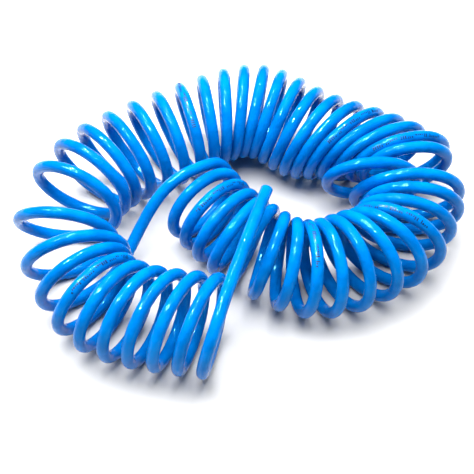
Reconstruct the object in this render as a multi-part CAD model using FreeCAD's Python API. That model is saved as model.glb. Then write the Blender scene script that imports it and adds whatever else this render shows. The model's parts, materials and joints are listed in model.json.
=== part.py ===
import FreeCAD, Part
import math
import os

# A recoil air hose: one polyurethane tube wound into a left-handed coil of 48 turns. The coil lies
# on a flat surface and is bent round into a spiral. Both ends are bare, cut square, and lead out of
# the coil as short free tails. Millimetres, +Z up, origin under the middle on the surface it lies on.

Vector = FreeCAD.Vector
UP = Vector(0, 0, 1)

# ---- driving dimensions ----
TUBE_OUTER = 8.0          # outside diameter of the tube
TUBE_BORE = 5.0           # inside diameter of the tube
COIL_RADIUS = 31.0        # radius of a turn, along the middle of the tube
TIGHT_RADIUS = 27.0       # radius of the last turns, which are wound tighter
TIGHT_FROM = 36           # the turn where the coil starts to get tighter
TIGHT_AT = 46             # and where it is as tight as it gets
SETTLED = 0.93            # the turns settle to this part of their height under their own weight
END_LENGTH = 12.0         # straight piece at each bare end that a fitting takes hold of
ARC_SHARE = 0.45          # how much of the shorter run beside a bend its arc may use

# ---- how the coil lies ----
# turn number, x and y of the turn's middle, the way the coil is heading there (degrees from +X),
# and how far the turn leans back from upright (degrees)
COIL_LIE = [
    (0, -10, -100, 165, 5),
    (4, -65, -90, 150, 0),
    (6, -90, -75, 140, 5),
    (8, -105, -45, 110, 10),
    (9, -115, -20, 90, 15),
    (10, -110, 15, 70, 10),
    (12, -90, 45, 45, 10),
    (16, -35, 80, 20, 5),
    (20, 10, 100, -5, -10),
    (24, 50, 75, -30, -15),
    (28, 95, 60, -60, -20),
    (30, 115, 45, -80, -20),
    (31, 85, 30, -80, -20),
    (32, 115, 20, -85, -20),
    (34, 110, -5, -100, -20),
    (36, 95, -30, -125, -10),
    (40, 45, -50, -170, 5),
    (44, 0, -20, -210, 10),
    (48, -30, 20, -230, 0),
]

# ---- the free tails, from the coil to the mouth of the bare end ----
NEAR_TAIL = [(-13, -115, 58), (-10, -105, 63), (-5, -90, 68), (3, -65, 71), (10, -42, 73), (17, -20, 74)]
FAR_TAIL = [(-23, 25, 53), (-35, 17, 53), (-48, 10, 47), (-58, 3, 36), (-66, -4, 23), (-73, -13, 12),
            (-80, -26, 5)]

TUBE_RADIUS = TUBE_OUTER / 2
BORE_RADIUS = TUBE_BORE / 2


def turn_radius(turn):
    """The radius of a turn: the same along most of the coil, and less towards its far end."""
    share = (turn - TIGHT_FROM) / (TIGHT_AT - TIGHT_FROM)
    return COIL_RADIUS + (TIGHT_RADIUS - COIL_RADIUS) * min(max(share, 0), 1)


def turn_outline(turn, x, y, heading, lean):
    """The closed outline of one turn: an ellipse in the turn's own leaning plane."""
    radius = turn_radius(turn)
    heading = math.radians(heading)
    lean = math.radians(lean)
    forward = Vector(math.cos(heading), math.sin(heading), 0)
    outward = UP.cross(forward)
    top = UP * math.cos(lean) - forward * math.sin(lean)
    middle = Vector(x, y, radius * SETTLED * math.cos(lean) + TUBE_RADIUS)
    side = middle + outward * (radius + TUBE_RADIUS)
    peak = middle + top * (radius * SETTLED + TUBE_RADIUS)
    ellipse = Part.Ellipse(side, peak, middle)
    return Part.Wire([ellipse.toShape()])


def coil_section(start, finish):
    """The outer shape of the turns between two places along the coil."""
    outlines = [turn_outline(*place) for place in (start, finish)]
    return Part.makeLoft(outlines, True, True)


def tube_path(points, stop):
    """Straight runs joined by arcs, each as large as its two runs allow; the last run ends at stop."""
    corners = [Vector(*point) for point in points]
    edges = []
    radii = []
    start = corners[0]
    for before, corner, after in zip(corners, corners[1:], corners[2:]):
        back = (before - corner).normalize()
        onward = (after - corner).normalize()
        half_turn = (math.pi - back.getAngle(onward)) / 2
        reach = ARC_SHARE * min((before - corner).Length, (after - corner).Length)
        radius = reach / math.tan(half_turn)
        bisector = (back + onward).normalize()
        middle = corner + bisector * (radius / math.cos(half_turn) - radius)
        arc_start = corner + back * reach
        arc_end = corner + onward * reach
        edges.append(Part.LineSegment(start, arc_start).toShape())
        edges.append(Part.Arc(arc_start, middle, arc_end).toShape())
        radii.append(radius)
        start = arc_end
    edges.append(Part.LineSegment(start, stop).toShape())
    return Part.Wire(edges), radii


def tail_tube(name, points, stop):
    """The free stretch between the coil and the straight end, as a plain round rod."""
    path, radii = tube_path(points, stop)
    direction = Vector(*points[1]) - Vector(*points[0])
    section = Part.Wire([Part.makeCircle(TUBE_RADIUS, Vector(*points[0]), direction)])
    tube = path.makePipeShell([section], True, False)
    area = math.pi * TUBE_RADIUS**2
    print(name, "length", round(path.Length, 1), "volume over section x length",
          round(tube.Volume / (area * path.Length), 4))
    print(name, "bend radii", [round(radius) for radius in radii])
    return tube


def bare_end(name, base, mouth):
    """A straight end of the tube, cut square, with its real bore open at the cut."""
    direction = (mouth - base).normalize()
    wall = Part.makeCylinder(TUBE_RADIUS, END_LENGTH, base, direction)
    bore = Part.makeCylinder(BORE_RADIUS, END_LENGTH, base, direction)
    print(name, "middle", [round(v, 2) for v in (base + mouth) / 2], "axis", [round(v, 5) for v in direction])
    return wall.cut(bore)


def tail_and_end(name, points):
    """A tail in two pieces that meet face to face: the tube from the coil, and the straight bare end."""
    mouth = Vector(*points[-1])
    direction = (mouth - Vector(*points[-2])).normalize()
    joint = mouth - direction * END_LENGTH
    tube = tail_tube(name, points, joint)
    return tube, bare_end(name, joint, mouth)


def build():
    """Every piece, by the name of its node."""
    pieces = {}
    for number, (start, finish) in enumerate(zip(COIL_LIE, COIL_LIE[1:]), 1):
        pieces["coil_section_%02d" % number] = coil_section(start, finish)
    pieces["near_tail"], pieces["near_bare_end"] = tail_and_end("near tail", NEAR_TAIL)
    pieces["far_tail"], pieces["far_bare_end"] = tail_and_end("far tail", FAR_TAIL)
    return pieces


def main():
    os.makedirs("parts", exist_ok=True)
    box = FreeCAD.BoundBox()
    for name, shape in build().items():
        if not shape.isValid() or len(shape.Solids) != 1:
            print("CHECK", name, shape.isValid(), len(shape.Solids))
        shape.exportStep("parts/%s.step" % name)
        box.add(shape.optimalBoundingBox(True, False))
    print("box", [round(v, 1) for v in (box.XMin, box.XMax, box.YMin, box.YMax, box.ZMin, box.ZMax)])


main()
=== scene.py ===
import bpy
import json
import math
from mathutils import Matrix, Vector

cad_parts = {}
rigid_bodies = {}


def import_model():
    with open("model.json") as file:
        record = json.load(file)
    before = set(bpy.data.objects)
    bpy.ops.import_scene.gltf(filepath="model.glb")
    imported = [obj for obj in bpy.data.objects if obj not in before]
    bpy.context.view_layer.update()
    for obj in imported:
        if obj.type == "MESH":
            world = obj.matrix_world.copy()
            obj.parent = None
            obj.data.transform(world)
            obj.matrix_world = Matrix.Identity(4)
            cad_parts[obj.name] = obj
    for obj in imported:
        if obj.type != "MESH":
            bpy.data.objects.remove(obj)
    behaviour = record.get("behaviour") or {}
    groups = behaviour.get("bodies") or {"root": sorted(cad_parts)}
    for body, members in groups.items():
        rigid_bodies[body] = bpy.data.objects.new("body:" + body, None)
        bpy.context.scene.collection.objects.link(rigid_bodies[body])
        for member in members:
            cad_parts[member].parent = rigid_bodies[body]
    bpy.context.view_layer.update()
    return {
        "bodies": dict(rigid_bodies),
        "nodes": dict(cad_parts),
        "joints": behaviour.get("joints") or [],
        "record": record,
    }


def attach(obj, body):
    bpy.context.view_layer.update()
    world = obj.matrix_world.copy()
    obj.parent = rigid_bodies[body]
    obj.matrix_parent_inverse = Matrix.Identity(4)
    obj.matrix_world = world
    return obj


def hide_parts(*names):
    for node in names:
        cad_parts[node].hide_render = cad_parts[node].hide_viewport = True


# A recoil air hose: one blue polyurethane tube wound into a left-handed coil, which lies on a pale
# floor bent round into a spiral, with a free tail and a bare cut end at each end of the coil.
# Metres, in the frame of the CAD model. The coil's turns are worked out by a loop from how it lies.

MM = 0.001

# ---- sizes ----
TUBE_RADIUS = 4.0 * MM
BORE_RADIUS = 2.5 * MM
COIL_RADIUS = 31.0 * MM         # of a turn, along the middle of the tube
TIGHT_RADIUS = 27.0 * MM        # of the last turns, which are wound tighter
TIGHT_FROM = 36                 # the turn where the coil starts to get tighter
TIGHT_AT = 46                   # and where it is as tight as it gets
SETTLED = 0.93                  # the turns settle to this part of their height
FIRST_TURN = 0.08               # where the near tail leaves the coil, in turns
LAST_TURN = 47.95               # where the far tail leaves it
POINTS_PER_TURN = 24
CURVE_STEPS = 3                 # points read from the spline for each of its control points
TUBE_SIDES = 28
BORE_DEPTH = 30.0 * MM
EDGE_ROUND = 0.25 * MM          # the cut edge is very slightly rounded
BLUE_DEEP = (0.0, 0.11, 0.40, 1)
BLUE_LIGHT = (0.0, 0.155, 0.52, 1)
FLOOR_ALBEDO = 0.5
INK_DARK = (0.0, 0.006, 0.035, 1)
INK_WORN = (0.0, 0.02, 0.10, 1)

# ---- the studio, in metres and watts ----
SKY_STRENGTH = 0.1
SOFTBOX_PLACE = (-0.2, 0.3, 1.7)
SOFTBOX_SIZE = 2.4
SOFTBOX_WATTS = 165
LAMP_PLACES = [(-0.8, 0.1, 1.1), (-0.45, -0.15, 1.3), (-0.3, 0.5, 1.2)]
LAMP_SIZE = 0.07
LAMP_WATTS = 45
CAMERA_PLACE = (-0.002, -0.698, 0.751)
CAMERA_TARGET = (-0.002, -0.013, 0.022)
CAMERA_LENS = 114.5

# ---- how the coil lies ----
# turn number, x and y of the turn's middle in mm, heading in degrees from +X, lean back in degrees
COIL_LIE = [
    (0, -10, -100, 165, 5),
    (4, -65, -90, 150, 0),
    (6, -90, -75, 140, 5),
    (8, -105, -45, 110, 10),
    (9, -115, -20, 90, 15),
    (10, -110, 15, 70, 10),
    (12, -90, 45, 45, 10),
    (16, -35, 80, 20, 5),
    (20, 10, 100, -5, -10),
    (24, 50, 75, -30, -15),
    (28, 95, 60, -60, -20),
    (30, 115, 45, -80, -20),
    (31, 85, 30, -80, -20),
    (32, 115, 20, -85, -20),
    (34, 110, -5, -100, -20),
    (36, 95, -30, -125, -10),
    (40, 45, -50, -170, 5),
    (44, 0, -20, -210, 10),
    (48, -30, 20, -230, 0),
]

# ---- the free tails in mm, each from the coil to the mouth of its bare end ----
NEAR_TAIL = [(-13, -115, 58), (-10, -105, 63), (-5, -90, 68), (3, -65, 71), (10, -42, 73), (17, -20, 74)]
FAR_TAIL = [(-23, 25, 53), (-35, 17, 53), (-48, 10, 47), (-58, 3, 36), (-66, -4, 23), (-73, -13, 12),
            (-80, -26, 5)]

# ---- the dark printed ticks ----
PRINT_TURNS = (6, 16, 26, 29, 35, 40, 46)    # a run of ticks lies over the top of each of these turns
PRINT_SPAN = 0.24               # of a turn, along one run
PRINT_PITCH = 1.4 * MM          # from one tick to the next
PRINT_BAR = 0.7 * MM            # along the hose
PRINT_HEIGHT = 2.4 * MM         # across the hose
PRINT_LIFT = 0.05 * MM          # above its surface
PRINT_SIDE = (0, -0.6, 0.8)     # the side of the hose that the ticks are on

UP = Vector((0, 0, 1))


# ---------------------------------------------------------------- the route
def lie_slopes(column):
    """How fast one column of COIL_LIE changes at each of its rows."""
    rows = COIL_LIE
    slopes = []
    for i in range(len(rows)):
        before = rows[max(i - 1, 0)]
        after = rows[min(i + 1, len(rows) - 1)]
        slopes.append((after[column] - before[column]) / (after[0] - before[0]))
    return slopes


SLOPES = {column: lie_slopes(column) for column in (1, 2, 3, 4)}


def lie_at(turn):
    """x, y, heading and lean of a turn, smoothly between the rows of COIL_LIE."""
    last = len(COIL_LIE) - 2
    row = next((i for i in range(last) if turn < COIL_LIE[i + 1][0]), last)
    low, high = COIL_LIE[row], COIL_LIE[row + 1]
    gap = high[0] - low[0]
    t = (turn - low[0]) / gap
    values = []
    for column in (1, 2, 3, 4):
        slope = SLOPES[column]
        values.append(
            (2 * t**3 - 3 * t**2 + 1) * low[column]
            + (t**3 - 2 * t**2 + t) * gap * slope[row]
            + (3 * t**2 - 2 * t**3) * high[column]
            + (t**3 - t**2) * gap * slope[row + 1]
        )
    return values


def turn_radius(turn):
    """The radius of a turn: the same along most of the coil, and less towards its far end."""
    share = (turn - TIGHT_FROM) / (TIGHT_AT - TIGHT_FROM)
    return COIL_RADIUS + (TIGHT_RADIUS - COIL_RADIUS) * min(max(share, 0), 1)


def coil_point(turn):
    """The middle of the tube at a turn: round a settled circle that leans back from upright."""
    x, y, heading, lean = lie_at(turn)
    radius = turn_radius(turn)
    heading = math.radians(heading)
    lean = math.radians(lean)
    forward = Vector((math.cos(heading), math.sin(heading), 0))
    outward = UP.cross(forward)
    top = UP * math.cos(lean) - forward * math.sin(lean)
    middle = Vector((x * MM, y * MM, radius * SETTLED * math.cos(lean) + TUBE_RADIUS))
    angle = math.pi / 2 - 2 * math.pi * turn
    # a spline passes just inside its control points, so they stand slightly outside the turn
    reach = radius / math.cos(math.pi / POINTS_PER_TURN)
    return middle + outward * reach * math.cos(angle) + top * reach * SETTLED * math.sin(angle)


def route_points():
    """The control points of the whole hose, from the near bare end to the far one."""
    near = [Vector(point) * MM for point in reversed(NEAR_TAIL)]
    far = [Vector(point) * MM for point in FAR_TAIL]
    steps = round((LAST_TURN - FIRST_TURN) * POINTS_PER_TURN)
    turns = [FIRST_TURN + (LAST_TURN - FIRST_TURN) * i / steps for i in range(1, steps)]
    return near[:-1] + [coil_point(turn) for turn in turns] + far[1:]


def smooth_line(points):
    """The points along one smooth NURBS spline through the route, and its curve's name."""
    curve = bpy.data.curves.new("hose_route", "CURVE")
    curve.dimensions = "3D"
    curve.resolution_u = CURVE_STEPS
    spline = curve.splines.new("NURBS")
    spline.points.add(len(points) - 1)
    for place, point in zip(spline.points, points):
        place.co = (*point, 1)
    spline.order_u = 3
    spline.use_endpoint_u = True
    holder = bpy.data.objects.new("hose_route", curve)
    bpy.context.scene.collection.objects.link(holder)
    depsgraph = bpy.context.evaluated_depsgraph_get()
    mesh = bpy.data.meshes.new_from_object(holder.evaluated_get(depsgraph))
    line = [vertex.co.copy() for vertex in mesh.vertices]
    bpy.data.meshes.remove(mesh)
    bpy.data.objects.remove(holder)
    return line


# ---------------------------------------------------------------- the tube
def line_frames(line):
    """At each point of the line, the directions along it and across it, turning as little as possible."""
    ahead = [(line[min(i + 1, len(line) - 1)] - line[max(i - 1, 0)]).normalized() for i in range(len(line))]
    side = ahead[0].cross(UP).normalized()
    frames = []
    for direction in ahead:
        side = (side - direction * side.dot(direction)).normalized()
        frames.append((direction, side, direction.cross(side)))
    return frames


def ring(centre, frame, radius, sides):
    """A ring of points round the line."""
    direction, side, other = frame
    angles = [2 * math.pi * i / sides for i in range(sides)]
    return [centre + (side * math.cos(a) + other * math.sin(a)) * radius for a in angles]


def cut_end(centre, frame, inwards):
    """The rings of a cut end, from the bore's bottom out to the tube's outer edge."""
    profile = [
        (BORE_DEPTH, 0.02 * MM),
        (BORE_DEPTH, BORE_RADIUS),
        (EDGE_ROUND, BORE_RADIUS),
        (0.3 * EDGE_ROUND, BORE_RADIUS + 0.3 * EDGE_ROUND),
        (0, BORE_RADIUS + EDGE_ROUND),
        (0, TUBE_RADIUS - EDGE_ROUND),
        (0.3 * EDGE_ROUND, TUBE_RADIUS - 0.3 * EDGE_ROUND),
    ]
    return [ring(centre + frame[0] * inwards * depth, frame, radius, TUBE_SIDES) for depth, radius in profile]


def tube_mesh(name, line):
    """The hose: a round tube along the line, open at both bare ends with its real bore."""
    frames = line_frames(line)
    rings = cut_end(line[0], frames[0], 1)
    body = [ring(centre, frame, TUBE_RADIUS, TUBE_SIDES) for centre, frame in zip(line, frames)]
    body[0] = ring(line[0] + frames[0][0] * EDGE_ROUND, frames[0], TUBE_RADIUS, TUBE_SIDES)
    body[-1] = ring(line[-1] - frames[-1][0] * EDGE_ROUND, frames[-1], TUBE_RADIUS, TUBE_SIDES)
    rings += body
    rings += reversed(cut_end(line[-1], frames[-1], -1))
    vertices = [point for points in rings for point in points]
    faces = []
    for row in range(len(rings) - 1):
        for i in range(TUBE_SIDES):
            j = (i + 1) % TUBE_SIDES
            a, b = row * TUBE_SIDES, (row + 1) * TUBE_SIDES
            faces.append((a + j, a + i, b + i, b + j))
    mesh = bpy.data.meshes.new(name)
    mesh.from_pydata(vertices, [], faces)
    mesh.validate()
    for polygon in mesh.polygons:
        polygon.use_smooth = True
    piece = bpy.data.objects.new(name, mesh)
    bpy.context.scene.collection.objects.link(piece)
    return piece


def line_length(line):
    return sum((b - a).length for a, b in zip(line, line[1:]))


# ---------------------------------------------------------------- the printed ticks
def line_place(line, index, along):
    """The point that lies so far along the line from one of its points, and the direction there."""
    while along > (line[index + 1] - line[index]).length:
        along -= (line[index + 1] - line[index]).length
        index += 1
    direction = (line[index + 1] - line[index]).normalized()
    return line[index] + direction * along, direction


def add_patch(vertices, faces, line, index, along, length, low, high):
    """A thin curved patch on the hose, between two heights across the side that faces PRINT_SIDE."""
    first = len(vertices)
    for step in range(3):
        place, direction = line_place(line, index, along + length * step / 2)
        facing = Vector(PRINT_SIDE)
        facing = (facing - direction * facing.dot(direction)).normalized()
        across = direction.cross(facing)
        for part in range(5):
            angle = (low + (high - low) * part / 4) / TUBE_RADIUS
            reach = TUBE_RADIUS + PRINT_LIFT
            vertices.append(place + (facing * math.cos(angle) + across * math.sin(angle)) * reach)
    for step in range(2):
        for part in range(4):
            a = first + step * 5 + part
            faces.append((a, a + 5, a + 6, a + 1))


def add_tick(vertices, faces, line, index, along, kind):
    """One plain bar across the hose: full height, or the upper or the lower half of it."""
    half = PRINT_HEIGHT / 2
    low = 0 if kind == 1 else -half
    high = 0 if kind == 2 else half
    add_patch(vertices, faces, line, index, along, PRINT_BAR, low, high)


def printed_ticks(name, line):
    """Runs of small dark ticks along the hose, all in one thin mesh."""
    vertices, faces = [], []
    for top_turn in PRINT_TURNS:
        ends = []
        for turn in (top_turn - PRINT_SPAN / 2, top_turn + PRINT_SPAN / 2):
            spot = coil_point(turn)
            ends.append(min(range(len(line)), key=lambda i: (line[i] - spot).length))
        count = int(line_length(line[ends[0]:ends[1] + 1]) / PRINT_PITCH)
        for i in range(count):
            if i % 7 != 5:
                add_tick(vertices, faces, line, ends[0], i * PRINT_PITCH, (i * 3 + i // 4) % 3)
    mesh = bpy.data.meshes.new(name)
    mesh.from_pydata(vertices, [], faces)
    for polygon in mesh.polygons:
        polygon.use_smooth = True
    piece = bpy.data.objects.new(name, mesh)
    bpy.context.scene.collection.objects.link(piece)
    return piece


# ---------------------------------------------------------------- materials
def new_material(name):
    """A new material, its nodes and links, and its Principled shader."""
    material = bpy.data.materials.new(name)
    material.use_nodes = True
    nodes = material.node_tree.nodes
    return material, nodes, material.node_tree.links, nodes["Principled BSDF"]


def add_noise(nodes, links, place, scale, detail):
    """Noise over the object's own space."""
    noise = nodes.new("ShaderNodeTexNoise")
    noise.inputs["Scale"].default_value = scale
    noise.inputs["Detail"].default_value = detail
    links.new(place.outputs["Object"], noise.inputs["Vector"])
    return noise


def add_bump(nodes, links, height, strength, distance, under=None):
    """A bump from a noise, on top of another bump if one is given."""
    bump = nodes.new("ShaderNodeBump")
    bump.inputs["Strength"].default_value = strength
    bump.inputs["Distance"].default_value = distance
    links.new(height.outputs["Fac"], bump.inputs["Height"])
    if under:
        links.new(under.outputs["Normal"], bump.inputs["Normal"])
    return bump


def polyurethane():
    """Glossy bright blue polyurethane, slightly uneven in colour and surface from extrusion."""
    material, nodes, links, shader = new_material("blue_polyurethane")
    place = nodes.new("ShaderNodeTexCoord")
    patches = add_noise(nodes, links, place, 70, 3)
    colours = nodes.new("ShaderNodeValToRGB")
    colours.color_ramp.elements[0].position = 0.35
    colours.color_ramp.elements[0].color = BLUE_DEEP
    colours.color_ramp.elements[1].position = 0.65
    colours.color_ramp.elements[1].color = BLUE_LIGHT
    links.new(patches.outputs["Fac"], colours.inputs["Fac"])
    links.new(colours.outputs["Color"], shader.inputs["Base Color"])
    waves = add_bump(nodes, links, add_noise(nodes, links, place, 270, 1), 0.8, 0.5 * MM)
    specks = add_bump(nodes, links, add_noise(nodes, links, place, 700, 2), 0.7, 0.15 * MM, waves)
    links.new(specks.outputs["Normal"], shader.inputs["Normal"])
    shader.inputs["Roughness"].default_value = 0.08
    shader.inputs["Specular IOR Level"].default_value = 0.2
    shader.inputs["Specular Tint"].default_value = (0.15, 0.85, 1.0, 1)
    return material


def printing_ink():
    """Dark blue ink, a little worn."""
    material, nodes, links, shader = new_material("printing_ink")
    place = nodes.new("ShaderNodeTexCoord")
    wear = add_noise(nodes, links, place, 900, 2)
    colours = nodes.new("ShaderNodeValToRGB")
    colours.color_ramp.elements[0].position = 0.45
    colours.color_ramp.elements[0].color = INK_DARK
    colours.color_ramp.elements[1].position = 0.75
    colours.color_ramp.elements[1].color = INK_WORN
    links.new(wear.outputs["Fac"], colours.inputs["Fac"])
    links.new(colours.outputs["Color"], shader.inputs["Base Color"])
    shader.inputs["Roughness"].default_value = 0.45
    shader.inputs["Specular IOR Level"].default_value = 0.2
    return material


def pale_floor():
    """Plain pale floor, nearly matt."""
    material, _, _, shader = new_material("pale_floor")
    shader.inputs["Base Color"].default_value = (FLOOR_ALBEDO, FLOOR_ALBEDO, FLOOR_ALBEDO, 1)
    shader.inputs["Roughness"].default_value = 0.9
    shader.inputs["Specular IOR Level"].default_value = 0.35
    return material


# ---------------------------------------------------------------- the studio
def add_floor():
    """The floor, just under the hose."""
    bpy.ops.mesh.primitive_plane_add(size=8, location=(0, 0, -0.0002))
    floor = bpy.context.object
    floor.name = "studio_floor"
    floor.data.materials.append(pale_floor())


def aim(holder, place, target):
    """Put an object at a place, looking at a target."""
    holder.location = place
    direction = Vector(target) - Vector(place)
    holder.rotation_euler = direction.to_track_quat("-Z", "Y").to_euler()


def add_area_light(name, place, size, watts):
    """A round white lamp that faces the middle of the floor."""
    light = bpy.data.lights.new(name, "AREA")
    light.shape = "DISK"
    light.size = size
    light.energy = watts
    holder = bpy.data.objects.new(name, light)
    bpy.context.scene.collection.objects.link(holder)
    aim(holder, place, (0, 0, 0))
    return holder


def add_lights():
    """A softbox that fills in without mirroring in the hose, and small lamps that only draw highlights."""
    world = bpy.data.worlds.new("studio")
    bpy.context.scene.world = world
    world.use_nodes = True
    sky = world.node_tree.nodes["Background"]
    sky.inputs["Color"].default_value = (1, 1, 1, 1)
    sky.inputs["Strength"].default_value = SKY_STRENGTH
    world.cycles_visibility.glossy = False
    softbox = add_area_light("softbox", SOFTBOX_PLACE, SOFTBOX_SIZE, SOFTBOX_WATTS)
    softbox.visible_glossy = False
    for number, place in enumerate(LAMP_PLACES, 1):
        lamp = add_area_light("lamp_%d" % number, place, LAMP_SIZE, LAMP_WATTS)
        lamp.visible_diffuse = False


def add_camera():
    """Looks down at the front of the loop from about 47 degrees above the floor, a metre away."""
    camera = bpy.data.cameras.new("camera")
    camera.sensor_width = 36
    camera.lens = CAMERA_LENS
    holder = bpy.data.objects.new("camera", camera)
    bpy.context.scene.collection.objects.link(holder)
    aim(holder, CAMERA_PLACE, CAMERA_TARGET)
    bpy.context.scene.camera = holder


def main():
    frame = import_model()
    line = smooth_line(route_points())
    hose = tube_mesh("air_hose", line)
    hose.data.materials.append(polyurethane())
    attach(hose, "root")
    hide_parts(*sorted(frame["nodes"]))
    ticks = printed_ticks("printed_ticks", line)
    ticks.data.materials.append(printing_ink())
    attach(ticks, "root")
    add_floor()
    add_lights()
    add_camera()
    bpy.context.scene.view_settings.view_transform = "Standard"


main()
